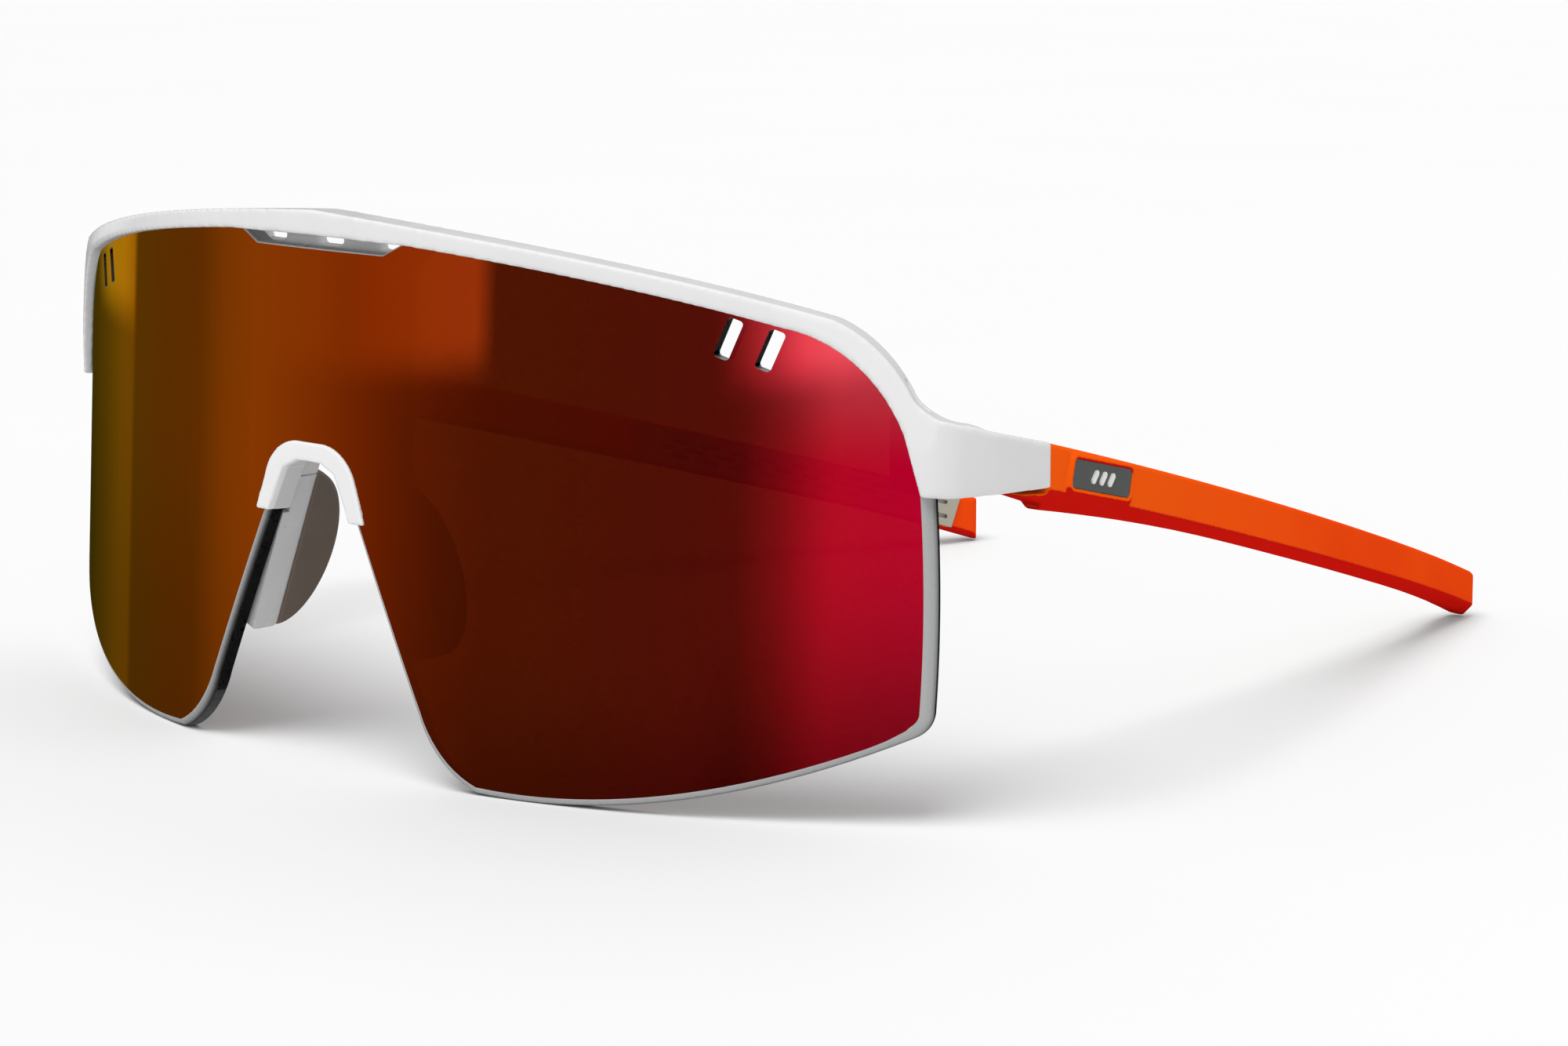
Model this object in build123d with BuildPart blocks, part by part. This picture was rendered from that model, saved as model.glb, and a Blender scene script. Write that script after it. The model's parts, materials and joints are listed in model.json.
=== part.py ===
from build123d import *
import os
from math import cos, radians, sin, sqrt

# Wraparound sport sunglasses, in millimetres. +Z is up and the lens faces -Y. The left side is the
# wearer's left, at +X. The glasses stand on the lens's two lobes and on both temple tips, at Z = 0.

# Overall layout, measured back from the lens's front line where that line meets Z = 0
FRONT_Y = -78.76
PARTING_Y = FRONT_Y + 40.5       # end piece's rear face, the temple's stop when open
HINGE_Y = FRONT_Y + 38.0
HINGE_X = 66.0
LENS_LIFT = 0.411                # raises the leaning lens so that its lobes rest on Z = 0

# Lens
LENS_RADIUS = 111.5              # front face, a cylinder
LENS_THICKNESS = 2.0
LENS_LEAN = 3.1                  # degrees, the top leans back
LENS_HALF = 68.8                 # half the chord
LENS_HEIGHT = 62.0
LENS_BEVEL = 0.9                 # width of the rim
LENS_STEP = 0.7                  # depth of the rim behind the face
LENS_CORNER = 3.0                # radius of its lower outer corners
# The side edges are cut square to the curve: half the width of the cut's wedge at the front line
SIDE_CUT = LENS_RADIUS * LENS_HALF / sqrt(LENS_RADIUS ** 2 - LENS_HALF ** 2)
LENS_BOTTOM = ((24.2, -0.1), (49.0, 2.5), (LENS_HALF, 11.0))
VENT_SIZE = (1.55, 4.25)
VENT_LEAN = 19.5                 # degrees from upright
VENT_CENTRES = ((49.8, 49.3), (53.7, 48.4))
WINDOW_ROUND = 0.4               # corner radius of the vents and of the brow's windows
CUT_REACH = 45.0                 # straight cuts through the curved lens are this long
BAND_HALF = 74.0                 # half width and depths of the cylinder walls before they are cut
BAND_DEPTH = (-5.0, 37.0)

# Brow
BROW_PROUD = 1.2                 # in front of the lens's front face
BROW_CUT = (-5.0, 40.0)          # depths between which its edges are drawn
BROW_BACK = 1.4                  # behind the lens's back face
SKIN_X = (68.0, 70.2)            # end piece's inner and outer sides at the hinge
EYE_WALL_Y = HINGE_Y - 2.4       # rear of the block in front of the knuckles
ARM_BLOCK_X = 64.2               # inner side of the block that holds the hinge eye
ARM_END_Z = (33.1, 37.8)         # bottom and top of the end piece's rear face
RAIL_V = (54.4, 58.0)            # rail behind the notch: lower and upper edge on the lens's face
RAIL_HALF = (13.5, 16.0)         # half its length at those edges
BROW_VENT_SIZE = (4.0, 1.6)      # three windows in the rail
BROW_VENT_V = 56.3
BROW_VENT_X = (-9.5, 0.0, 9.5)

# Hinge
KNUCKLE_RADIUS = 1.9
SCREW_RADIUS = 0.7
SCREW_CLEARANCE = 0.05
KNUCKLE_GAP = 0.08
KNUCKLE_SWEEP = 0.3              # how far the cut between the eye's knuckles clears them
EYE_Z = (33.8, 34.75)            # lower knuckle of the eye; the upper one ends at EYE_TOP
EYE_TOP = 37.6
LEAF_Z = (EYE_Z[1] + KNUCKLE_GAP, 36.6)
SCREW_HEAD = (1.4, 0.55)         # radius and height
SCREW_CHAMFER = 0.2
SCREW_SLOT = (0.35, 0.3)         # width and depth
LEAF_X = (66.6, 67.8)
LEAF_TANG_TOP = 35.5
EYE_TANG_X = (65.4, 66.6)
EYE_TANG_LENGTH = 8.0
LEAF_TANG_LENGTH = 9.0

# Temple: its line runs back from TEMPLE_START, bends in from INSET_START and hooks down at the tip
TEMPLE_STATIONS = (40.55, 48.0, 58.0, 72.0, 90.0, 110.0, 128.0, 140.0, 149.0, 156.4)
TEMPLE_START = 39.5
TEMPLE_RUN = TEMPLE_STATIONS[-1] - TEMPLE_START
TEMPLE_THICKNESS = 3.8
TEMPLE_TOP = 38.0
TEMPLE_FACE = (4.9, 4.25)        # height of the outer face, front and rear
TEMPLE_FOOT = (2.2, 1.0)         # height of the leaning foot under the face, front and middle
FOOT_RUN = 40.0                  # length over which the foot narrows
TEMPLE_DROP = 0.25               # fall per millimetre of length, at the front
TEMPLE_CHAMFER = (0.4, 0.6)      # on its outer top edge and on its inner edges
TEMPLE_LEAN = 1.5                # how far the foot's lower edge stands inside the outer face
HOOK_START = 132.0
HOOK_DROP = 0.3                  # extra fall at the tip
HOOK_FOOT = 0.5                  # extra height of the foot at the tip
INSET_START = 37.5
TEMPLE_INSET = 27.5              # how far the tip stands inside the hinge end
INSET_RUN = 119.0
INSET_POWER = 1.3
# The drop steepens towards the tip just enough to bring the tip's foot down to Z = 0
TIP_TOP = TEMPLE_FACE[1] + TEMPLE_FOOT[1] + HOOK_FOOT
TEMPLE_BEND = (TEMPLE_TOP - TEMPLE_DROP * TEMPLE_RUN - HOOK_DROP - TIP_TOP) / TEMPLE_RUN ** 2
TIP_ROUND = (1.0, 1.9)           # radii of the tip's upper corner and of its inner corner
TIP_MARGIN = (0.05, 0.4)         # the trim above the tip's top, at its end and where it starts
TIP_SKIN = (0.02, 0.3)           # the same outside its inner side
GRIP_STATIONS = (103.0, 115.0, 127.0, 140.0, 152.5)
GRIP_TOP_Z = 25.0                # a height above the whole grip
GRIP_END = (149.8, 158.3)        # its rear end at Z = 0 and at GRIP_TOP_Z, square to the temple
GRIP_DEPTH = 0.8
GRIP_PROUD = 0.6
GRIP_EDGE = 0.45
GROOVE_SIZE = (3.0, 0.55)
GROOVE_DEPTH = 0.4
GROOVE_PITCH = 4.4
GROOVE_COUNT = 10
GROOVE_FIRST = 106.8
GROOVE_ROW = 1.0                 # between the three rows
CORE_SPAN = (105.0, 150.0)
CORE_DEPTH = 2.75                # behind the outer face
CORE_RADIUS = 0.55
SHOULDER_X = (65.0, 69.7)
SHOULDER_LEAN = 0.85             # inward per millimetre down
SHOULDER_ENDS = ((37.0, 32.75, 32.6), (42.0, 32.4, 30.95))   # depth, top and bottom of each end
BADGE_SIZE = (12.0, 3.0)
BADGE_AT = 50.4
BADGE_RIM = 0.55
BADGE_PROUD = 0.3                # the frame, outside the temple's face
BADGE_SUNK = 0.15                # the plate, below the frame
BADGE_ROUND = (0.6, 0.9)         # corner radii of the plate and of its frame
BADGE_THICKNESS = 0.7
FRAME_ROOT = 1.0                 # how far the frame runs into the temple
MARK_SIZE = (1.6, 0.7)
MARK_PITCH = 1.7
MARK_LEAN = 60                   # degrees
MARK_THICKNESS = 0.2

# Nose piece
BRIDGE_PROUD = 0.5
BRIDGE_BACK = 0.8
NOSE_TOP = (5.4, FRONT_Y + 5.0, 31.0)
NOSE_SPLAY = 0.42                # outward per millimetre down
ARM_THICKNESS = 1.7
ARM_WIDTH = 2.6
ARM_LIP = (1.0, -5.4)            # how far the arm widens towards the lens, and from where down
ARM_TOP = -1.05
ARM_BOTTOM = -20.2
PAD_REACH = 5.6
PAD_THICKNESS = 2.3
BOSS_FRONT = 0.7                 # how far the boss runs into the bridge's back wall
BOSS_HEIGHT = 4.4
NOSE_GAP = 0.05                  # between boss and arm
WIRE_RADIUS = 0.45
WIRE_U = 1.1                     # wire's distance behind the arm's datum
WIRE_TOP = 1.6
WIRE_LENGTH = 14.0
ARM_ROUND = 0.6
FIN_REACH = 2.6
FIN_THICKNESS = 0.7
FIN_HEIGHT = 12.0
FIN_ROOT = 0.5
PAD_ROUND = 0.7
TOP_Z = LENS_HEIGHT + 4          # a height above the whole object
SIDE_X = 80.0                    # a width outside the whole object


LEAN_BACK = sin(radians(LENS_LEAN))
LEAN_UP = cos(radians(LENS_LEAN))
lens_plan = Plane(origin=(0, FRONT_Y, LENS_LIFT), x_dir=(1, 0, 0), z_dir=(0, LEAN_BACK, LEAN_UP))
lens_face = Plane(origin=(0, FRONT_Y, LENS_LIFT), x_dir=(1, 0, 0), z_dir=(0, -LEAN_UP, LEAN_BACK))


def curved_band(proud, depth):
    """Cylinder wall from proud in front of the lens's face to depth behind it."""
    with BuildSketch(lens_plan) as band:
        with Locations((0, LENS_RADIUS)):
            Circle(LENS_RADIUS + proud)
            Circle(LENS_RADIUS - depth, mode=Mode.SUBTRACT)
        with Locations((0, sum(BAND_DEPTH) / 2)):
            Rectangle(2 * BAND_HALF, BAND_DEPTH[1] - BAND_DEPTH[0], mode=Mode.INTERSECT)
    extrude(band.sketch, amount=TOP_Z)


def write_piece(piece, name):
    piece.part.label = name
    export_step(piece.part, f"parts/{name}.step")


def write_pair(left, name):
    """Write the left piece and its mirror image."""
    with BuildPart() as right:
        mirror(left.part, about=Plane.YZ)
    write_piece(left, f"{name}_left")
    write_piece(right, f"{name}_right")


def temple_line(back):
    """Outer face, top, lower edge of the face, and bottom, at a distance back from FRONT_Y."""
    side = SKIN_X[1] - TEMPLE_INSET * ((back - INSET_START) / INSET_RUN) ** INSET_POWER
    run = back - TEMPLE_START
    hook = max(back - HOOK_START, 0.0) / (TEMPLE_STATIONS[-1] - HOOK_START)
    top = TEMPLE_TOP - TEMPLE_DROP * run - TEMPLE_BEND * run ** 2 - HOOK_DROP * hook ** 2
    ridge = top - TEMPLE_FACE[0] + (TEMPLE_FACE[0] - TEMPLE_FACE[1]) * (run / TEMPLE_RUN) ** 2
    front = max(1 - (back - TEMPLE_STATIONS[0]) / FOOT_RUN, 0.0)
    foot = TEMPLE_FOOT[1] + (TEMPLE_FOOT[0] - TEMPLE_FOOT[1]) * front ** 2 + HOOK_FOOT * hook ** 2
    return side, top, ridge, ridge - foot


def temple_slopes(back):
    """Fall and inward turn of the temple's line, per millimetre of length."""
    side, top, ridge, bottom = temple_line(back)
    side_on, top_on, ridge_on, bottom_on = temple_line(back + 1)
    return (top + bottom - top_on - bottom_on) / 2, side - side_on


def temple_section(back):
    """Cross-section of the temple: the outer face leans in at its foot."""
    side, top, ridge, bottom = temple_line(back)
    inner = side - TEMPLE_THICKNESS
    outer_cut, inner_cut = TEMPLE_CHAMFER
    with BuildSketch(Plane.XZ.offset(-(FRONT_Y + back))) as section:
        with BuildLine():
            Polyline(
                (side, top - outer_cut),
                (side - outer_cut, top),
                (inner + inner_cut, top),
                (inner, top - inner_cut),
                (inner, bottom + inner_cut),
                (inner + inner_cut, bottom),
                (side - TEMPLE_LEAN, bottom),
                (side, ridge),
                close=True,
            )
        make_face()
    return section.sketch


def grip_section(back, outer, inner):
    """Upright cross-section between two depths inside the temple's outer face."""
    side, top, ridge, bottom = temple_line(back)
    with BuildSketch(Plane.XZ.offset(-(FRONT_Y + back))) as section:
        with Locations((side - (outer + inner) / 2, (top + bottom) / 2)):
            Rectangle(inner - outer, top - bottom - 2 * GRIP_EDGE)
    return section.sketch


def shoulder_section(back, top, bottom):
    """Cross-section of the temple's shoulder, leaning in like the temple's foot."""
    inner, outer = SHOULDER_X
    with BuildSketch(Plane.XZ.offset(-(FRONT_Y + back))) as section:
        with BuildLine():
            foot = outer - SHOULDER_LEAN * (top - bottom)
            Polyline((inner, top), (outer, top), (foot, bottom), (inner, bottom), close=True)
        make_face()
    return section.sketch


def brow_outline(depth):
    """Right half of the brow's outline on a plane that far behind the lens's front line."""

    def cut(*points):
        return [(x * (LENS_RADIUS - depth) / sqrt(LENS_RADIUS ** 2 - x ** 2), v) for x, v in points]

    with BuildSketch(lens_face.offset(-depth)) as outline:
        with BuildLine():
            Line(*cut((0, 56.5), (14.0, 56.3)))
            ThreePointArc(*cut((14.0, 56.3), (37.0, 54.1), (54.8, 50.8)))
            ThreePointArc(*cut((54.8, 50.8), (61.6, 47.3), (65.5, 40.7)))
            Polyline(*cut((65.5, 40.7), (67.0, 34.6), (71.5, 34.6), (71.5, 41.5), (70.3, 41.9)))
            ThreePointArc(*cut((70.3, 41.9), (67.8, 42.7), (66.2, 44.2)))
            ThreePointArc(*cut((66.2, 44.2), (63.6, 48.6), (59.3, 51.9)))
            ThreePointArc(*cut((59.3, 51.9), (31.8, 56.7), (0, 59.2)))
            Line((0, 59.2), (0, 56.5))
        make_face()
    return outline.sketch


def lens_outline(inset):
    """Outline of the lens on its face, smaller all round by inset."""
    with BuildSketch(lens_face) as outline:
        with BuildLine():
            Polyline((0, 33.3), (3.0, 33.3), (5.2, 31.0), (7.1, 26.3), (16.4, 7.4))
            ThreePointArc((16.4, 7.4), (18.9, 3.35), LENS_BOTTOM[0])
            ThreePointArc(*LENS_BOTTOM)
            ThreePointArc((LENS_HALF, 11.0), (LENS_HALF, 24.0), (68.0, 37.0))
            ThreePointArc((68.0, 37.0), (64.4, 45.9), (57.0, 51.3))
            ThreePointArc((57.0, 51.3), (37.0, 55.2), (14.4, 57.27))
            Polyline((14.4, 57.27), (10.15, 55.17), (0, 55.17), (0, 33.3))
        make_face()
        fillet(vertices().sort_by_distance(LENS_BOTTOM[2])[0], LENS_CORNER)
        mirror(about=Plane.YZ)
        if inset:
            offset(amount=-inset, kind=Kind.INTERSECTION)
    return outline.sketch


os.makedirs("parts", exist_ok=True)

# Lens: one cylindrical shield with the nose cut, the notch in its top edge and four vent slots.
# Its rim is stepped back from the face all round.
with BuildPart() as lens_rim:
    curved_band(-LENS_STEP, LENS_THICKNESS)
    extrude(lens_outline(0), amount=CUT_REACH, both=True, mode=Mode.INTERSECT)
with BuildPart() as lens_shield:
    curved_band(0, LENS_THICKNESS)
    extrude(lens_outline(LENS_BEVEL), amount=CUT_REACH, both=True, mode=Mode.INTERSECT)
    add(lens_rim.part)
    with BuildSketch(lens_face):
        for side in (1, -1):
            for across, up in VENT_CENTRES:
                with Locations(Location((side * across, up), -side * VENT_LEAN)):
                    RectangleRounded(*VENT_SIZE, WINDOW_ROUND)
    extrude(amount=CUT_REACH, both=True, mode=Mode.SUBTRACT)
    with BuildSketch(lens_plan):
        with BuildLine():
            Polyline((0, LENS_RADIUS), (-SIDE_CUT, 0), (SIDE_CUT, 0), close=True)
        make_face()
    extrude(amount=TOP_Z, mode=Mode.INTERSECT)
write_piece(lens_shield, "lens_shield")


# Brow: a bar grooved for the lens's top edge, swept down round its upper corners, with an arm back
# to each hinge. Its edges are cut square to the lens's curve.
with BuildPart() as brow_edges:
    loft([brow_outline(depth) for depth in BROW_CUT], ruled=True)
    mirror(about=Plane.YZ)
with BuildSketch() as arm_plan:
    with BuildLine():
        Polyline(
            (64.5, FRONT_Y + 24.5),
            (SKIN_X[1] + 1, FRONT_Y + 24.5),
            (SKIN_X[1] + 1, PARTING_Y),
            (SKIN_X[0], PARTING_Y),
            (SKIN_X[0], EYE_WALL_Y),
            (ARM_BLOCK_X, EYE_WALL_Y),
            (ARM_BLOCK_X, FRONT_Y + 28),
            (61.0, FRONT_Y + 26),
            close=True,
        )
    make_face()
    mirror(about=Plane.YZ)
with BuildSketch() as brow_plan:
    with BuildLine():
        Polyline((0, FRONT_Y - 10), (50, FRONT_Y - 10), (63.4, FRONT_Y + 20.23), (68.17, FRONT_Y + 23.86))
        ThreePointArc((68.17, FRONT_Y + 23.86), (69.63, FRONT_Y + 25.62), (70.15, FRONT_Y + 27.84))
        ThreePointArc((70.15, FRONT_Y + 27.84), (70.45, FRONT_Y + 33.5), (SKIN_X[1], PARTING_Y))
        Polyline((SKIN_X[1], PARTING_Y), (0, PARTING_Y), (0, FRONT_Y - 10))
    make_face()
    mirror(about=Plane.YZ)
with BuildSketch(Plane.YZ.offset(-SIDE_X)) as arm_side:
    with BuildLine():
        Polyline(
            (PARTING_Y, ARM_END_Z[1]),
            (PARTING_Y, ARM_END_Z[0]),
            (FRONT_Y + 24, 33.7),
            (FRONT_Y + 18, 33.7),
            (FRONT_Y + 18, 43.4),
        )
        ThreePointArc((FRONT_Y + 18, 43.4), (FRONT_Y + 29, 40.5), (PARTING_Y, ARM_END_Z[1]))
    make_face()
with BuildPart() as brow_arms:
    extrude(arm_plan.sketch, amount=TOP_Z)
    extrude(arm_side.sketch, amount=2 * SIDE_X, mode=Mode.INTERSECT)

# Hinge eye: two knuckles on a tang let into the end piece's block
with BuildPart() as hinge_eye:
    with BuildSketch(Plane.XY.offset(EYE_Z[0])):
        with Locations((HINGE_X, HINGE_Y)):
            Circle(KNUCKLE_RADIUS)
        with Locations((sum(EYE_TANG_X) / 2, HINGE_Y)):
            tang_width = EYE_TANG_X[1] - EYE_TANG_X[0]
            Rectangle(tang_width, EYE_TANG_LENGTH, align=(Align.CENTER, Align.MAX))
        with Locations((HINGE_X, HINGE_Y)):
            Circle(SCREW_RADIUS, mode=Mode.SUBTRACT)
    extrude(amount=EYE_TOP - EYE_Z[0])
    gap_height = LEAF_Z[1] - LEAF_Z[0] + 2 * KNUCKLE_GAP
    with BuildSketch(Plane.XY.offset(EYE_Z[1])):
        with Locations((HINGE_X, HINGE_Y)):
            Circle(KNUCKLE_RADIUS + KNUCKLE_SWEEP)
    extrude(amount=gap_height, mode=Mode.SUBTRACT)
write_pair(hinge_eye, "hinge_eye")

with BuildPart() as hinge_leaf:
    with BuildSketch(Plane.XY.offset(LEAF_Z[0])):
        with Locations((HINGE_X, HINGE_Y)):
            Circle(KNUCKLE_RADIUS)
    extrude(amount=LEAF_Z[1] - LEAF_Z[0])
    with BuildSketch(Plane.XY.offset(LEAF_Z[0])):
        with Locations((sum(LEAF_X) / 2, HINGE_Y)):
            Rectangle(LEAF_X[1] - LEAF_X[0], LEAF_TANG_LENGTH, align=(Align.CENTER, Align.MIN))
    extrude(amount=LEAF_TANG_TOP - LEAF_Z[0])
    with BuildSketch(Plane.XY.offset(LEAF_Z[0])):
        with Locations((HINGE_X, HINGE_Y)):
            Circle(SCREW_RADIUS + SCREW_CLEARANCE)
    extrude(amount=LEAF_Z[1] - LEAF_Z[0], mode=Mode.SUBTRACT)
write_pair(hinge_leaf, "hinge_leaf")

with BuildPart() as hinge_screw:
    with BuildSketch(Plane.XY.offset(EYE_Z[0])):
        with Locations((HINGE_X, HINGE_Y)):
            Circle(SCREW_RADIUS)
    extrude(amount=EYE_TOP - EYE_Z[0])
    with BuildSketch(Plane.XY.offset(EYE_TOP)):
        with Locations((HINGE_X, HINGE_Y)):
            Circle(SCREW_HEAD[0])
    extrude(amount=SCREW_HEAD[1])
    chamfer(edges().filter_by(GeomType.CIRCLE).sort_by(Axis.Z)[-1], SCREW_CHAMFER)
    with BuildSketch(Plane.XY.offset(EYE_TOP + SCREW_HEAD[1])):
        with Locations((HINGE_X, HINGE_Y)):
            Rectangle(SCREW_SLOT[0], 2 * SCREW_HEAD[0])
    extrude(amount=-SCREW_SLOT[1], mode=Mode.SUBTRACT)
write_pair(hinge_screw, "hinge_screw")

# Rail behind the lens's notch, which closes the brow's groove there
with BuildPart() as brow_rail:
    curved_band(-LENS_THICKNESS, LENS_THICKNESS + BROW_BACK)
    with BuildSketch(lens_face):
        with BuildLine():
            low, high = RAIL_V
            short, long = RAIL_HALF
            Polyline((-short, low), (short, low), (long, high), (-long, high), close=True)
        make_face()
    extrude(amount=CUT_REACH, both=True, mode=Mode.INTERSECT)

with BuildPart() as brow_frame:
    curved_band(BROW_PROUD, LENS_THICKNESS + BROW_BACK)
    add(brow_edges.part, mode=Mode.INTERSECT)
    add(brow_arms.part)
    extrude(brow_plan.sketch, amount=TOP_Z, mode=Mode.INTERSECT)
    add(brow_rail.part)
    with BuildSketch(lens_face):
        for across in BROW_VENT_X:
            with Locations((across, BROW_VENT_V)):
                RectangleRounded(*BROW_VENT_SIZE, WINDOW_ROUND)
    extrude(amount=-CUT_REACH, mode=Mode.SUBTRACT)
    add(lens_shield.part, mode=Mode.SUBTRACT)
    add(lens_rim.part, mode=Mode.SUBTRACT)
    add(hinge_eye.part, mode=Mode.SUBTRACT)
    add(mirror(hinge_eye.part, about=Plane.YZ, mode=Mode.PRIVATE), mode=Mode.SUBTRACT)
write_piece(brow_frame, "brow_frame")

# Nose bridge: an inverted U that grips the lens round the top of the nose cut, with a groove for the
# lens and a boss behind each leg for the wire
nose_axis = Vector(1, 0, NOSE_SPLAY).normalized()
nose_side = Plane(origin=NOSE_TOP, x_dir=(0, 1, 0), z_dir=nose_axis)
wire_top = nose_side.from_local_coords((WIRE_U, WIRE_TOP, ARM_THICKNESS / 2))
wire_plan = Plane(origin=wire_top, x_dir=(0, 1, 0), z_dir=nose_side.y_dir)
with BuildPart() as nose_boss:
    with BuildSketch(nose_side):
        with Locations((-BOSS_FRONT, ARM_TOP + NOSE_GAP)):
            Rectangle(ARM_WIDTH + BOSS_FRONT, BOSS_HEIGHT, align=Align.MIN)
    extrude(amount=ARM_THICKNESS)
with BuildPart() as nose_wire:
    with BuildSketch(wire_plan):
        Circle(WIRE_RADIUS)
    extrude(amount=-WIRE_LENGTH)
write_pair(nose_wire, "nose_wire")
with BuildPart() as bridge_groove:
    curved_band(0, LENS_THICKNESS)
    extrude(lens_outline(0), amount=CUT_REACH, both=True, mode=Mode.INTERSECT)
with BuildPart() as nose_bridge:
    curved_band(BRIDGE_PROUD, LENS_THICKNESS + BRIDGE_BACK)
    with BuildSketch(lens_face):
        with BuildLine():
            Polyline((0, 32.4), (2.1, 32.3), (4.2, 31.3), (6.6, 26.4), (8.8, 26.4), (7.0, 31.2))
            ThreePointArc((7.0, 31.2), (5.1, 33.4), (1.5, 34.4))
            Polyline((1.5, 34.4), (0, 34.4), (0, 32.4))
        make_face()
        mirror(about=Plane.YZ)
    extrude(amount=CUT_REACH, both=True, mode=Mode.INTERSECT)
    add(nose_boss.part)
    mirror(nose_boss.part, about=Plane.YZ)
    add(bridge_groove.part, mode=Mode.SUBTRACT)
    add(nose_wire.part, mode=Mode.SUBTRACT)
    add(mirror(nose_wire.part, about=Plane.YZ, mode=Mode.PRIVATE), mode=Mode.SUBTRACT)
write_piece(nose_bridge, "nose_bridge")

# Nose arm: a strip along the nose cut, with a fin for the pad
with BuildPart() as nose_arm:
    with BuildSketch(nose_side):
        with BuildLine():
            Polyline(
                (-0.1, ARM_TOP),
                (ARM_WIDTH - 0.1, ARM_TOP),
                (ARM_WIDTH - 0.1, ARM_BOTTOM),
                (-ARM_LIP[0], ARM_BOTTOM),
                (-ARM_LIP[0], ARM_LIP[1]),
                (-0.1, ARM_LIP[1]),
                close=True,
            )
        make_face()
        fillet(vertices().group_by(Axis.Y)[0], ARM_ROUND)
    extrude(amount=ARM_THICKNESS)
    with BuildSketch(nose_side.offset((ARM_THICKNESS - FIN_THICKNESS) / 2)):
        with Locations((ARM_WIDTH - 0.1 - FIN_ROOT, (ARM_TOP + ARM_BOTTOM) / 2)):
            Rectangle(FIN_REACH + FIN_ROOT, FIN_HEIGHT, align=(Align.MIN, Align.CENTER))
    extrude(amount=FIN_THICKNESS)
    with BuildSketch(wire_plan):
        Circle(WIRE_RADIUS + SCREW_CLEARANCE)
    extrude(amount=-WIRE_LENGTH - 0.1, mode=Mode.SUBTRACT)
write_pair(nose_arm, "nose_arm")

with BuildPart() as nose_pad:
    middle = (ARM_TOP + ARM_BOTTOM) / 2
    half = (ARM_TOP - ARM_BOTTOM) / 2
    with BuildSketch(nose_side.offset((ARM_THICKNESS - PAD_THICKNESS) / 2)):
        with Locations((ARM_WIDTH - 0.1, middle)):
            Ellipse(PAD_REACH, half)
            Rectangle(PAD_REACH + 1, 2 * half, align=(Align.MIN, Align.CENTER), mode=Mode.INTERSECT)
    extrude(amount=PAD_THICKNESS)
    fillet(edges().filter_by(GeomType.ELLIPSE), PAD_ROUND)
    add(nose_arm.part, mode=Mode.SUBTRACT)
write_pair(nose_pad, "nose_pad")

# Temple grip: rubber on the inner side of the tip, with three rows of short grooves
core_ends = [
    Vector(temple_line(back)[0] - CORE_DEPTH, FRONT_Y + back, sum(temple_line(back)[1::2]) / 2)
    for back in CORE_SPAN
]
core_axis = core_ends[1] - core_ends[0]
with BuildPart() as temple_core:
    with BuildSketch(Plane(origin=core_ends[0], z_dir=core_axis)):
        Circle(CORE_RADIUS)
    extrude(amount=core_axis.length)
write_pair(temple_core, "temple_core")

with BuildPart() as temple_grip:
    inner = TEMPLE_THICKNESS + GRIP_PROUD
    loft([grip_section(back, TEMPLE_THICKNESS - GRIP_DEPTH, inner) for back in GRIP_STATIONS])
    with BuildSketch(Plane.YZ):
        with BuildLine():
            Polyline(
                (PARTING_Y, GRIP_TOP_Z),
                (PARTING_Y, 0),
                (FRONT_Y + GRIP_END[0], 0),
                (FRONT_Y + GRIP_END[1], GRIP_TOP_Z),
                close=True,
            )
        make_face()
    extrude(amount=SIDE_X, mode=Mode.INTERSECT)
    for row in (-1, 0, 1):
        for step in range(GROOVE_COUNT):
            back = GROOVE_FIRST + GROOVE_PITCH * (step + (0.5 if row else 0))
            side, top, ridge, bottom = temple_line(back)
            slope, turn = temple_slopes(back)
            groove = Plane(
                origin=(side - inner, FRONT_Y + back, (top + bottom) / 2 + row * GROOVE_ROW),
                x_dir=(-turn, 1, -slope),
                z_dir=Vector(-1, -turn, 0),
            )
            with BuildSketch(groove):
                SlotOverall(*GROOVE_SIZE)
            extrude(amount=-GROOVE_DEPTH, mode=Mode.SUBTRACT)
    add(temple_core.part, mode=Mode.SUBTRACT)
write_pair(temple_grip, "temple_grip")

# Badge: a plate in a raised, recessed frame on the temple's outer face, with a plain mark on it
side, top, ridge, bottom = temple_line(BADGE_AT)
badge_slope, badge_turn = temple_slopes(BADGE_AT)
badge_face = Plane(
    origin=(side, FRONT_Y + BADGE_AT, (top + ridge) / 2),
    x_dir=(-badge_turn, 1, -badge_slope),
    z_dir=Vector(1, badge_turn, 0),
)
badge_top = badge_face.offset(BADGE_PROUD - BADGE_SUNK)
with BuildPart() as temple_badge:
    with BuildSketch(badge_top):
        RectangleRounded(*BADGE_SIZE, BADGE_ROUND[0])
    extrude(amount=-BADGE_THICKNESS)
write_pair(temple_badge, "temple_badge")

with BuildPart() as badge_mark:
    with BuildSketch(badge_top):
        for across in (-MARK_PITCH, 0, MARK_PITCH):
            with Locations((across, 0)):
                SlotOverall(*MARK_SIZE, rotation=MARK_LEAN)
    extrude(amount=MARK_THICKNESS)
write_pair(badge_mark, "badge_mark")

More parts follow.
